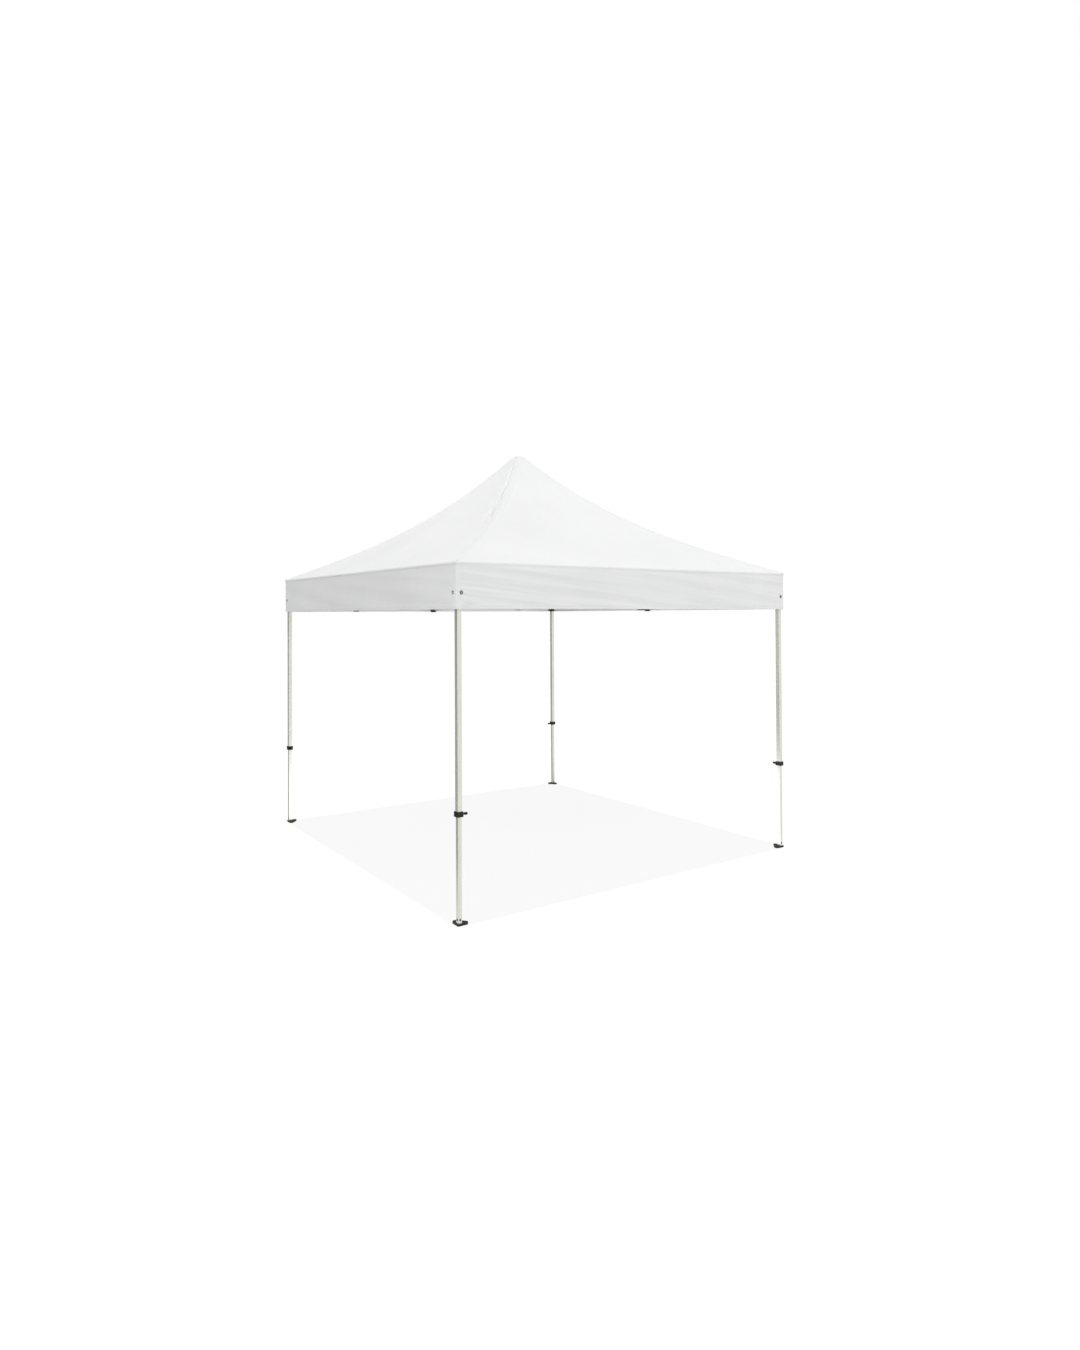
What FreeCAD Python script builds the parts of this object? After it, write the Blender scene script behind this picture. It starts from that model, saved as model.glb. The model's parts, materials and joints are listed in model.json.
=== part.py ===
import FreeCAD, Part

import math
import os
import re

# A pop up canopy with a 3 m square roof on a folding frame, in millimetres.
# The ground is z = 0 and the peak is over the origin.  Side 0 is the front (-Y), leg 0 is front left
# (-X, -Y), and each later side or leg is the one before it turned by 90 degrees about Z.
SIDES = ["front", "right", "back", "left"]
LEGS = ["front_left", "front_right", "back_right", "back_left"]

DIMENSIONS = {
    # frame layout
    "leg_centre": 1470,
    "top_pivot_height": 2130,
    "low_pivot_height": 1885,
    "leg_pivot_reach": 42,
    "mid_pivot_reach": 20,
    "mid_inner_reach": 32,
    "hub_pivot_reach": 30,
    "plane_offset": 6,
    # folding bars
    "bar_depth": 20,
    "bar_thick": 10,
    "bar_wall": 0.9,
    "bar_overhang": 10,
    "pivot_hole_radius": 3.3,
    # bolts, rivets and the ears that they go through
    "bolt_radius": 3,
    "bolt_hole_radius": 3.15,
    "bolt_head_radius": 5.5,
    "bolt_head_height": 2.4,
    "seat_gap": 0.1,
    "ear_near": 5.5,
    "ear_far": 10.5,
    "ear_radius": 13,
    "web_half": 4.5,
    "keel_half": 28,
    "keel_top": 17.5,
    "keel_bottom": 22,
    "rivet_play": 0.5,
    # legs
    "outer_leg_side": 30,
    "outer_leg_wall": 1,
    "inner_leg_side": 25,
    "inner_leg_wall": 1,
    "inner_leg_bottom": 12.2,
    "inner_leg_top": 1000,
    "collar_bottom": 640,
    "collar_lip": 2,
    "collar_top": 671,
    "collar_side": 42,
    "collar_opening": 25.8,
    "boss_radius": 9,
    "boss_length": 8,
    "lock_pin_height": 653,
    "lock_neck_radius": 5,
    "lock_neck_length": 12,
    "lock_knob_radius": 8.5,
    "lock_knob_length": 16,
    # pull pins: the play before the tube that they lock, and the step from shank to neck
    "pin_play": 0.8,
    "pin_step": 0.4,
    "pin_overlap": 1,
    # corner brackets and sliders
    "bracket_side": 38,
    "bracket_bottom": 2092,
    "bracket_top": 2146,
    "slider_opening": 31,
    "slider_side": 40,
    "slider_below": 14,
    "slider_above": 40,
    "slider_pin_above": 24,
    "slider_pin_offset": 8,
    "slider_neck_radius": 4,
    "slider_neck_length": 5,
    "slider_knob_radius": 7,
    "slider_knob_length": 11,
    # feet
    "foot_thick": 12,
    "foot_plug_gap": 0.3,
    "foot_plug_height": 45,
    "foot_ear_reach": 40,
    "foot_ear_radius": 19,
    "stake_hole_radius": 5,
    "foot_rivet_height": 34,
    "foot_rivet_radius": 2.5,
    "foot_rivet_grip": 3,
    # hubs and peak pole
    "hub_half": 14.5,
    "hub_ear_root": 12,
    "hub_half_height": 16,
    "top_hub_half_height": 30,
    "pole_radius": 11,
    "pole_wall": 1.2,
    "pole_running_gap": 0.3,
    "socket_radius": 11.4,
    "socket_depth": 26,
    "pole_seat_gap": 0.4,
    "pole_top": 3138,
    "cap_radius": 24,
    "cap_top_radius": 15,
    "cap_height": 14,
    # canopy
    "canopy_half": 1500,
    "valance_bottom": 1873,
    "eave_height": 2155,
    "peak_height": 3165,
    "peak_half": 30,
    "fabric_thick": 3,
    "roof_wall_height": 3.9,
    "panel_gap": 0.5,
}
# The roof is hollow-cheeked: its height, as a share of the rise, at each share of the way in.
ROOF_STRAIGHT_SHARE = 0.64
ROOF_CURVE_POWER = 3.0
ROOF_SECTIONS = (0.25, 0.5, 0.7, 0.85)

ALIASES = re.compile(r"\b(" + "|".join(DIMENSIONS) + r")\b")
AXIS_TURNS = {
    "x": FreeCAD.Rotation(FreeCAD.Vector(0, 1, 0), 90),
    "y": FreeCAD.Rotation(FreeCAD.Vector(1, 0, 0), -90),
    "z": FreeCAD.Rotation(),
}

doc = FreeCAD.newDocument("PopUpCanopy")
sheet = doc.addObject("Spreadsheet::Sheet", "Sizes")
for row, (alias, number) in enumerate(DIMENSIONS.items(), start=1):
    sheet.set(f"A{row}", alias)
    sheet.set(f"B{row}", str(number))
    sheet.setAlias(f"B{row}", alias)
doc.recompute()
sub_parts = []


def size(alias):
    """A driving dimension's value, for working out where a sub-part stands."""
    return float(sheet.get(alias))


def bind(item, prop, text):
    """Binds one property to an expression whose plain names are the sheet's aliases."""
    item.setExpression(prop, ALIASES.sub(r"Sizes.\1", str(text)))


def place(item, x, y, z):
    for letter, text in zip("xyz", (x, y, z)):
        bind(item, f"Placement.Base.{letter}", text)


def block(name, x, y, z):
    """A box from its lowest and highest place along each axis."""
    item = doc.addObject("Part::Box", name)
    for prop, (low, high) in zip(("Length", "Width", "Height"), (x, y, z)):
        bind(item, prop, f"({high}) - ({low})")
    place(item, x[0], y[0], z[0])
    return item


def rod(name, radius, axis, span, centre):
    """A cylinder along an axis, from span[0] to span[1], through centre in the other two directions."""
    item = doc.addObject("Part::Cylinder", name)
    bind(item, "Radius", radius)
    bind(item, "Height", f"({span[1]}) - ({span[0]})")
    item.Placement.Rotation = AXIS_TURNS[axis]
    where = list(centre)
    where.insert("xyz".index(axis), span[0])
    place(item, *where)
    return item


def fuse(name, *items):
    item = doc.addObject("Part::MultiFuse", name)
    item.Shapes = list(items)
    return item


def cut(name, base, *tools):
    item = doc.addObject("Part::Cut", name)
    item.Base = base
    item.Tool = tools[0] if len(tools) == 1 else fuse(name + "_tools", *tools)
    return item


def sub_part(name, x, y, z, side, turn, *items):
    """A finished sub-part.

    Its solids move from their own frame to (x, y, z) on the front side, and then round to their side.
    """
    item = items[0]
    if len(items) > 1:
        item = doc.addObject("Part::Compound", name + "_solids")
        item.Links = list(items)
    item.Label = name
    item.Placement = (
        FreeCAD.Placement(FreeCAD.Vector(), FreeCAD.Rotation(FreeCAD.Vector(0, 0, 1), 90 * side))
        .multiply(FreeCAD.Placement(FreeCAD.Vector(x, y, z), turn))
    )
    sub_parts.append(item)
    return item


def square_tube(name, side, wall, low, high):
    across = (f"-{side}/2", f"{side}/2")
    outside = block(name + "_outside", across, across, (low, high))
    inner = f"{side}/2 - {wall}"
    inside = block(
        name + "_inside", (f"-({inner})", inner), (f"-({inner})", inner), (f"{low} - 1", f"{high} + 1")
    )
    return outside, inside


def turned(along, first, second):
    """(x, y) with first along the named axis."""
    return (first, second) if along == "x" else (second, first)


def ears(name, along, base, reach, plane, height, backwards=False):
    """Two ears that stand along an axis and hold a bar whose middle plane is at `plane` across it.

    They run from base to the bolt at reach, which is the lower of the two where they point backwards.
    Returns their plates, the hole for the bolt, and the bolt itself.
    """
    across = "y" if along == "x" else "x"
    low, high = (reach, base) if backwards else (base, reach)
    plates = []
    for end, (near, far) in enumerate((("-ear_far", "-ear_near"), ("ear_near", "ear_far"))):
        span = (f"{plane} + ({near})", f"{plane} + ({far})")
        x, y = turned(along, (low, high), span)
        upright = (f"{height} - ear_radius", f"{height} + ear_radius")
        plates.append(block(f"{name}_ear{end}", x, y, upright))
        plates.append(rod(f"{name}_ear{end}_end", "ear_radius", across, span, (reach, height)))
    hole = rod(
        name + "_hole",
        "bolt_hole_radius",
        across,
        (f"{plane} - ear_far - 1", f"{plane} + ear_far + 1"),
        (reach, height),
    )
    return plates, hole, bolt(name + "_bolt", across, reach, plane, height)


def bolt(name, across, reach, plane, height):
    """A bolt through a pair of ears, with a round head at each end."""
    shank = rod(
        name + "_shank",
        "bolt_radius",
        across,
        (f"{plane} - ear_far - seat_gap", f"{plane} + ear_far + seat_gap"),
        (reach, height),
    )
    head = rod(
        name + "_head",
        "bolt_head_radius",
        across,
        (f"{plane} - ear_far - seat_gap - bolt_head_height", f"{plane} - ear_far - seat_gap"),
        (reach, height),
    )
    nut = rod(
        name + "_nut",
        "bolt_head_radius",
        across,
        (f"{plane} + ear_far + seat_gap", f"{plane} + ear_far + seat_gap + bolt_head_height"),
        (reach, height),
    )
    return fuse(name, shank, head, nut)


BAR_LENGTH = (
    "sqrt((leg_centre - leg_pivot_reach - mid_pivot_reach)^2 + (top_pivot_height - low_pivot_height)^2)"
)


def bar(name, side, start, turn, rivet):
    """A rectangular tube between two pivots, drilled for them and for the rivet of its scissor pair.

    One bar of each pair holds the rivet, and the other turns on it.
    """
    half_depth, half_thick = "bar_depth/2", "bar_thick/2"
    span = ("-bar_overhang", f"{BAR_LENGTH} + bar_overhang")
    section = ((f"-{half_thick}", half_thick), (f"-{half_depth}", half_depth))
    outside = block(name + "_outside", span, *section)
    inner_thick, inner_depth = f"{half_thick} - bar_wall", f"{half_depth} - bar_wall"
    inside = block(
        name + "_inside",
        (f"{span[0]} - 1", f"{span[1]} + 1"),
        (f"-({inner_thick})", inner_thick),
        (f"-({inner_depth})", inner_depth),
    )
    middle = f"({BAR_LENGTH})/2"
    drilled = [
        rod(f"{name}_hole", radius, "y", (f"-{half_thick} - 1", f"{half_thick} + 1"), (where, 0))
        for where, radius in (
            (0, "pivot_hole_radius"),
            (middle, "bolt_hole_radius" if rivet else "pivot_hole_radius"),
            (BAR_LENGTH, "pivot_hole_radius"),
        )
    ]
    solids = [cut(name + "_tube", outside, inside, *drilled)]
    if rivet:
        solids.append(scissor_rivet(name + "_rivet", middle))
    return sub_part(name, *start, side, turn, *solids)


def scissor_rivet(name, where):
    """The rivet at the middle of a scissor pair, with a head outside each of its two bars."""
    low = "-bar_thick/2 - seat_gap"
    high = "2*plane_offset + bar_thick/2 + rivet_play"
    shank = rod(name + "_shank", "bolt_radius", "y", (low, high), (where, 0))
    heads = [
        rod(name + "_head", "bolt_head_radius", "y", (f"{low} - bolt_head_height", low), (where, 0)),
        rod(name + "_tail", "bolt_head_radius", "y", (high, f"{high} + bolt_head_height"), (where, 0)),
    ]
    return fuse(name, shank, *heads)


def roof_sections():
    """Half the roof's width and its height, at the eave, at each section and at the peak."""
    yield "canopy_half", "eave_height"
    for share in ROOF_SECTIONS:
        rise = ROOF_STRAIGHT_SHARE * share + (1 - ROOF_STRAIGHT_SHARE) * share**ROOF_CURVE_POWER
        half = f"canopy_half - (canopy_half - peak_half)*{share}"
        yield half, f"eave_height + (peak_height - eave_height)*{rise:.4f}"
    yield "peak_half", "peak_height"


def canopy_form(name, inset, bottom):
    """The canopy as a solid, with its walls moved in by inset."""
    corners = [("canopy_half", bottom)]
    for row, (half, height) in enumerate(roof_sections()):
        lowered = "0" if inset == "0" else ("fabric_thick" if row == 0 else "roof_wall_height")
        corners.append((half, f"{height} - {lowered}"))
    squares = []
    for number, (half, height) in enumerate(corners):
        square = doc.addObject("Part::RegularPolygon", f"{name}_square{number}")
        square.Polygon = 4
        bind(square, "Circumradius", f"({half} - {inset})*sqrt(2)")
        square.Placement.Rotation = FreeCAD.Rotation(FreeCAD.Vector(0, 0, 1), 45)
        place(square, 0, 0, height)
        squares.append(square)
    form = doc.addObject("Part::Loft", name + "_form")
    form.Sections = squares
    form.Solid = True
    form.Ruled = True
    return form


def canopy():
    """The fabric: a hollow-cheeked roof and a straight valance, in flat panels with narrow gaps."""
    outer = canopy_form("outer", "0", "valance_bottom")
    inner = canopy_form("inner", "fabric_thick", "valance_bottom - 1")
    across = ("-canopy_half - 1", "canopy_half + 1")
    gaps = []
    levels = [height for _, height in roof_sections()]
    levels[0] += " - fabric_thick"
    levels[-1] += " - roof_wall_height"
    for number, level in enumerate(levels):
        gaps.append(block(f"seam_gap{number}", across, across, (f"{level} - panel_gap", level)))
    # the four ridges lie over the diagonals of the square
    diagonal = ("-canopy_half*sqrt(2) - 1", "canopy_half*sqrt(2) + 1")
    narrow = ("-panel_gap/2", "panel_gap/2")
    tall = ("valance_bottom - 1", levels[-1])
    ridges = fuse(
        "ridge_gaps",
        block("ridge_gap0", diagonal, narrow, tall),
        block("ridge_gap1", narrow, diagonal, tall),
    )
    ridges.Placement.Rotation = FreeCAD.Rotation(FreeCAD.Vector(0, 0, 1), 45)
    sub_part("canopy", 0, 0, 0, 0, FreeCAD.Rotation(), cut("canopy_panels", outer, inner, ridges, *gaps))


def hub(name, height_above, height_below, plane, bored):
    """A square hub core with a pair of ears and a bolt on each of its four sides."""
    square = ("-hub_half", "hub_half")
    core = block(name + "_core", square, square, (height_below, height_above))
    plates, holes, bolts = [core], [bored], []
    for side in range(4):
        along = "y" if side % 2 == 0 else "x"
        sign = "-" if side in (0, 3) else ""
        # turning the front pair by 90 degrees swaps its axes and flips one of them
        across = {0: plane, 1: plane, 2: f"-({plane})", 3: f"-({plane})"}[side]
        made, hole, pin = ears(
            f"{name}_{SIDES[side]}",
            along,
            f"{sign}hub_ear_root",
            f"{sign}hub_pivot_reach",
            across,
            0,
            sign == "-",
        )
        plates += made
        holes.append(hole)
        bolts.append(pin)
    return [cut(name, fuse(name + "_body", *plates), *holes), *bolts]


def hubs_and_pole():
    top = size("top_pivot_height")
    low = size("low_pivot_height")
    bore = rod(
        "top_hub_bore",
        "pole_radius + pole_running_gap",
        "z",
        ("-top_hub_half_height - 1", "top_hub_half_height + 1"),
        (0, 0),
    )
    solids = hub("top_hub", "top_hub_half_height", "-top_hub_half_height", "plane_offset", bore)
    sub_part("centre_top_hub", 0, 0, top, 0, FreeCAD.Rotation(), *solids)
    socket_span = ("hub_half_height - socket_depth", "hub_half_height + 1")
    socket = rod("bottom_hub_socket", "socket_radius", "z", socket_span, (0, 0))
    solids = hub("bottom_hub", "hub_half_height", "-hub_half_height", "-plane_offset", socket)
    sub_part("centre_bottom_hub", 0, 0, low, 0, FreeCAD.Rotation(), *solids)

    bottom = "low_pivot_height + hub_half_height - socket_depth + pole_seat_gap"
    tube = cut(
        "peak_pole_tube",
        rod("peak_pole_outside", "pole_radius", "z", (bottom, "pole_top"), (0, 0)),
        rod(
            "peak_pole_inside",
            "pole_radius - pole_wall",
            "z",
            (f"{bottom} - 1", "pole_top + 1"),
            (0, 0),
        ),
    )
    cap = doc.addObject("Part::Cone", "peak_cap")
    bind(cap, "Radius1", "cap_radius")
    bind(cap, "Radius2", "cap_top_radius")
    bind(cap, "Height", "cap_height")
    place(cap, 0, 0, "pole_top + seat_gap")
    sub_part("peak_pole", 0, 0, 0, 0, FreeCAD.Rotation(), tube, cap)


def centre_bars(side):
    """The two inner bars of one side, which lie side by side and fold with it."""
    reach = size("hub_pivot_reach")
    plane = size("plane_offset")
    slope = rest_angle()
    # Local Y is the bar's thickness.  Turned to run towards the front, it points to +X.
    outward = FreeCAD.Rotation(FreeCAD.Vector(0, 0, 1), -90)
    for hub_name, across, height, climb in (
        ("bottom_hub", -plane, size("low_pivot_height"), 1),
        ("top_hub", plane, size("top_pivot_height"), -1),
    ):
        tilt = FreeCAD.Rotation(FreeCAD.Vector(0, 1, 0), -climb * slope)
        bar(
            f"{SIDES[side]}_centre_bar_from_{hub_name}",
            side,
            (across, -reach, height),
            outward.multiply(tilt),
            rivet=hub_name == "bottom_hub",
        )


def rest_angle():
    """The slope of every folding bar with the frame open, in degrees."""
    run = size("leg_centre") - size("leg_pivot_reach") - size("mid_pivot_reach")
    return math.degrees(math.atan2(size("top_pivot_height") - size("low_pivot_height"), run))


def side_bars(side):
    """The four bars of one side: two scissor pairs that meet at the side's middle."""
    line = -size("leg_centre")
    plane = size("plane_offset")
    top, low = size("top_pivot_height"), size("low_pivot_height")
    middle = size("mid_pivot_reach")
    slope = rest_angle()
    for leg, sign in ((LEGS[side], -1), (LEGS[(side + 1) % 4], 1)):
        for kind, height, climb, across in (("outer", low, 1, -plane), ("inner", top, -1, plane)):
            # A turn about Y keeps the bar's thickness pointing inwards, whichever leg it runs to.
            angle = -climb * slope if sign > 0 else 180 + climb * slope
            bar(
                f"{SIDES[side]}_{kind}_bar_to_{leg}_leg",
                side,
                (sign * middle, line + across, height),
                FreeCAD.Rotation(FreeCAD.Vector(0, 1, 0), angle),
                rivet=kind == "outer",
            )


def mid_bracket(side, level, plane, inner_plane, height):
    """The bracket at the middle of a side, which holds two side bars and one inner bar."""
    name = f"{SIDES[side]}_mid_{level}_bracket"
    plates, holes, bolts = [], [], []
    for near, far in (("-ear_far", "-ear_near"), ("ear_near", "ear_far")):
        span = (f"{plane} + ({near})", f"{plane} + ({far})")
        plates.append(
            block(
                f"{name}_plate",
                ("-mid_pivot_reach", "mid_pivot_reach"),
                span,
                ("-ear_radius", "ear_radius"),
            )
        )
        for sign in ("-", ""):
            plates.append(rod(f"{name}_end", "ear_radius", "y", span, (f"{sign}mid_pivot_reach", 0)))
    for sign in ("-", ""):
        reach = f"{sign}mid_pivot_reach"
        span = (f"{plane} - ear_far - 1", f"{plane} + ear_far + 1")
        holes.append(rod(f"{name}_hole", "bolt_hole_radius", "y", span, (reach, 0)))
        bolts.append(bolt(f"{name}_bolt", "y", reach, plane, 0))
    if level == "lower":
        plates += keel(name, plane)
    web = block(
        name + "_web",
        ("-web_half", "web_half"),
        (f"{plane} - ear_far", f"{plane} + ear_far"),
        ("-ear_radius", "ear_radius"),
    )
    made, hole, pin = ears(
        name + "_inner", "y", f"{plane} + ear_far - 1", "mid_inner_reach", inner_plane, 0
    )
    body = cut(name + "_body", fuse(name + "_blank", web, *plates, *made), hole, *holes)
    sub_part(name, 0, -size("leg_centre"), height, side, FreeCAD.Rotation(), body, pin, *bolts)


def keel(name, plane):
    """A flat plate under the lower bracket, clear of the turning bar ends, and the cheeks that carry it."""
    across = ("-keel_half", "keel_half")
    depth = (f"{plane} - ear_far", f"{plane} + ear_far")
    plates = [block(name + "_keel", across, depth, ("-keel_bottom", "-keel_top"))]
    cheek_length = ("-mid_pivot_reach", "mid_pivot_reach")
    for near, far in (("-ear_far", "-ear_near"), ("ear_near", "ear_far")):
        span = (f"{plane} + ({near})", f"{plane} + ({far})")
        plates.append(block(name + "_cheek", cheek_length, span, ("-keel_bottom", "0")))
    return plates


def outer_leg(index):
    """The upper leg tube with its corner bracket on top and its lock collar round the bottom."""
    name = f"{LEGS[index]}_outer_leg"
    tube = cut(
        name + "_tube",
        *square_tube(
            name + "_tube",
            "outer_leg_side",
            "outer_leg_wall",
            "collar_bottom + collar_lip + seat_gap",
            "top_pivot_height",
        ),
        rod(
            name + "_pin_hole",
            "pivot_hole_radius",
            "x",
            ("inner_leg_side/2", "outer_leg_side/2 + 1"),
            (0, "lock_pin_height"),
        ),
    )
    collar_half, opening, fit = "collar_side/2", "collar_opening/2", "outer_leg_side/2 + seat_gap"
    collar_block = block(
        name + "_collar_block",
        (f"-{collar_half}", collar_half),
        (f"-{collar_half}", collar_half),
        ("collar_bottom", "collar_top"),
    )
    boss_span = (f"{collar_half} - pin_overlap", f"{collar_half} + boss_length")
    boss = rod(name + "_boss", "boss_radius", "x", boss_span, (0, "lock_pin_height"))
    collar = cut(
        name + "_collar",
        fuse(name + "_collar_blank", collar_block, boss),
        block(
            name + "_collar_way",
            (f"-{opening}", opening),
            (f"-{opening}", opening),
            ("collar_bottom - 1", "collar_top"),
        ),
        block(
            name + "_collar_seat",
            (f"-({fit})", fit),
            (f"-({fit})", fit),
            ("collar_bottom + collar_lip", "collar_top + 1"),
        ),
        rod(
            name + "_collar_hole",
            "pivot_hole_radius",
            "x",
            ("inner_leg_side/2", f"{collar_half} + boss_length + 1"),
            (0, "lock_pin_height"),
        ),
    )
    half = "bracket_side/2"
    cap = block(name + "_cap", (f"-{half}", half), (f"-{half}", half), ("bracket_bottom", "bracket_top"))
    seat_width = (f"-({fit})", fit)
    seat_span = ("bracket_bottom - 1", "top_pivot_height + seat_gap")
    seat = block(name + "_seat", seat_width, seat_width, seat_span)
    x_ears, x_hole, x_bolt = ears(
        name + "_x", "x", "bracket_side/2 - 1", "leg_pivot_reach", "-plane_offset", "top_pivot_height"
    )
    y_ears, y_hole, y_bolt = ears(
        name + "_y", "y", "bracket_side/2 - 1", "leg_pivot_reach", "-plane_offset", "top_pivot_height"
    )
    blank = fuse(name + "_bracket_blank", cap, *x_ears, *y_ears)
    bracket = cut(name + "_bracket", blank, seat, x_hole, y_hole)
    at_leg(name, index, tube, collar, bracket, x_bolt, y_bolt)


def at_leg(name, index, *solids):
    corner = -size("leg_centre")
    sub_part(name, corner, corner, 0, index, FreeCAD.Rotation(), *solids)


def pull_pin(name, tube_face, guide_face, kind, across, height):
    """A spring pin along X: a shank that ends just clear of the tube, a neck past its guide, and a knob."""
    neck_end = f"{guide_face} + {kind}_neck_length"
    pieces = [
        rod(f"{name}_{label}", radius, "x", span, (across, height))
        for label, radius, span in (
            ("shank", "bolt_radius", (f"{tube_face} + pin_play", f"{guide_face} + pin_overlap")),
            ("neck", f"{kind}_neck_radius", (f"{guide_face} + pin_step", neck_end)),
            ("knob", f"{kind}_knob_radius", (neck_end, f"{neck_end} + {kind}_knob_length")),
        )
    ]
    return fuse(name, *pieces)


def lock_pin(index):
    """The pin that locks the leg's height, pulled by the round knob on the collar."""
    name = f"{LEGS[index]}_leg_lock_pin"
    guide = "collar_side/2 + boss_length"
    at_leg(name, index, pull_pin(name, "inner_leg_side/2", guide, "lock", 0, "lock_pin_height"))


def slider(index):
    """The sleeve that slides on the outer leg and carries the lower ends of two bars."""
    name = f"{LEGS[index]}_slider"
    half, opening = "slider_side/2", "slider_opening/2"
    low = "low_pivot_height - slider_below"
    high = "low_pivot_height + slider_above"
    sleeve = block(name + "_sleeve", (f"-{half}", half), (f"-{half}", half), (low, high))
    way_width = (f"-{opening}", opening)
    way = block(name + "_way", way_width, way_width, (f"{low} - 1", f"{high} + 1"))
    x_ears, x_hole, x_bolt = ears(
        name + "_x", "x", "slider_side/2 - 1", "leg_pivot_reach", "plane_offset", "low_pivot_height"
    )
    y_ears, y_hole, y_bolt = ears(
        name + "_y", "y", "slider_side/2 - 1", "leg_pivot_reach", "plane_offset", "low_pivot_height"
    )
    pin_hole = rod(
        name + "_pin_hole",
        "pivot_hole_radius",
        "x",
        ("outer_leg_side/2", "slider_side/2 + 1"),
        ("-slider_pin_offset", "low_pivot_height + slider_pin_above"),
    )
    blank = fuse(name + "_blank", sleeve, *x_ears, *y_ears)
    body = cut(name + "_body", blank, way, x_hole, y_hole, pin_hole)
    at_leg(name, index, body, x_bolt, y_bolt)


def slider_pin(index):
    """The pin that holds the slider at its open place on the leg."""
    name = f"{LEGS[index]}_slider_pull_pin"
    height = "low_pivot_height + slider_pin_above"
    pin = pull_pin(name, "outer_leg_side/2", "slider_side/2", "slider", "-slider_pin_offset", height)
    at_leg(name, index, pin)


def inner_leg(index):
    """The lower leg tube, drilled for its foot's two rivets."""
    name = f"{LEGS[index]}_inner_leg"
    outside, inside = square_tube(
        name, "inner_leg_side", "inner_leg_wall", "inner_leg_bottom", "inner_leg_top"
    )
    holes = [
        rod(
            f"{name}_hole_{axis}",
            "foot_rivet_radius + seat_gap",
            axis,
            ("-inner_leg_side/2 - 1", "-inner_leg_side/2 + inner_leg_wall + 1"),
            (0, "foot_rivet_height"),
        )
        for axis in "xy"
    ]
    at_leg(name, index, cut(name + "_tube", outside, inside, *holes))


def foot(index):
    """The foot: a plate with two rounded ears pointing inwards, a plug inside the leg, and two rivets."""
    name = f"{LEGS[index]}_foot"
    leg_face, plug = "inner_leg_side/2", "(inner_leg_side/2 - inner_leg_wall - foot_plug_gap)"
    flat = ("0", "foot_thick")
    ear = "foot_ear_radius"
    plates = [
        block(name + "_x_plate", (f"-{ear}", "foot_ear_reach"), (f"-{ear}", ear), flat),
        block(name + "_y_plate", (f"-{ear}", ear), (f"-{ear}", "foot_ear_reach"), flat),
        rod(name + "_x_end", ear, "z", flat, ("foot_ear_reach", 0)),
        rod(name + "_y_end", ear, "z", flat, (0, "foot_ear_reach")),
        block(name + "_plug", (f"-{plug}", plug), (f"-{plug}", plug), ("0", "foot_plug_height")),
    ]
    # the slanting plate between the two ears, tangent to both of their round ends
    bridge = doc.addObject("Part::Box", name + "_bridge")
    bind(bridge, "Length", "foot_ear_reach*sqrt(2)")
    bind(bridge, "Width", "foot_ear_radius*2")
    bind(bridge, "Height", "foot_thick")
    bridge.Placement.Rotation = FreeCAD.Rotation(FreeCAD.Vector(0, 0, 1), 135)
    place(bridge, "foot_ear_reach + foot_ear_radius/sqrt(2)", "foot_ear_radius/sqrt(2)", 0)
    plates.append(bridge)
    stakes = [
        rod(f"{name}_stake{i}", "stake_hole_radius", "z", ("-1", "foot_thick + 1"), centre)
        for i, centre in enumerate((("foot_ear_reach", 0), (0, "foot_ear_reach")))
    ]
    rivets, rivet_holes = [], []
    for axis in "xy":
        centre = (0, "foot_rivet_height")
        tip = f"-{leg_face} + inner_leg_wall + foot_rivet_grip"
        under_head = f"-{leg_face} - seat_gap"
        hole_span = (f"-{plug} - 1", f"{tip} + 1")
        rivet_holes.append(
            rod(f"{name}_rivet_hole_{axis}", "foot_rivet_radius + seat_gap", axis, hole_span, centre)
        )
        shank = rod(f"{name}_rivet_shank_{axis}", "foot_rivet_radius", axis, (under_head, tip), centre)
        head_span = (f"{under_head} - bolt_head_height", under_head)
        head = rod(f"{name}_rivet_head_{axis}", "bolt_head_radius", axis, head_span, centre)
        rivets.append(fuse(f"{name}_rivet_{axis}", shank, head))
    body = cut(name + "_body", fuse(name + "_blank", *plates), *stakes, *rivet_holes)
    at_leg(name, index, body, *rivets)


canopy()
hubs_and_pole()
for number in range(4):
    centre_bars(number)
    side_bars(number)
    mid_bracket(number, "lower", "-plane_offset", "plane_offset", size("low_pivot_height"))
    mid_bracket(number, "upper", "plane_offset", "-plane_offset", size("top_pivot_height"))
    outer_leg(number)
    lock_pin(number)
    slider(number)
    slider_pin(number)
    inner_leg(number)
    foot(number)

doc.recompute()
broken = [item.Label for item in doc.Objects if {"Invalid", "Error"} & set(item.State)]
broken += [item.Label for item in sub_parts if item.Shape.isNull() or not item.Shape.isValid()]
if broken:
    raise RuntimeError(f"these objects are broken: {broken}")
os.makedirs("parts", exist_ok=True)
for item in sub_parts:
    item.Shape.exportStep(f"parts/{item.Label}.step")
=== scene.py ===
import json
import math

import bpy
import numpy as np
from mathutils import Matrix, Vector, noise

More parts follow.
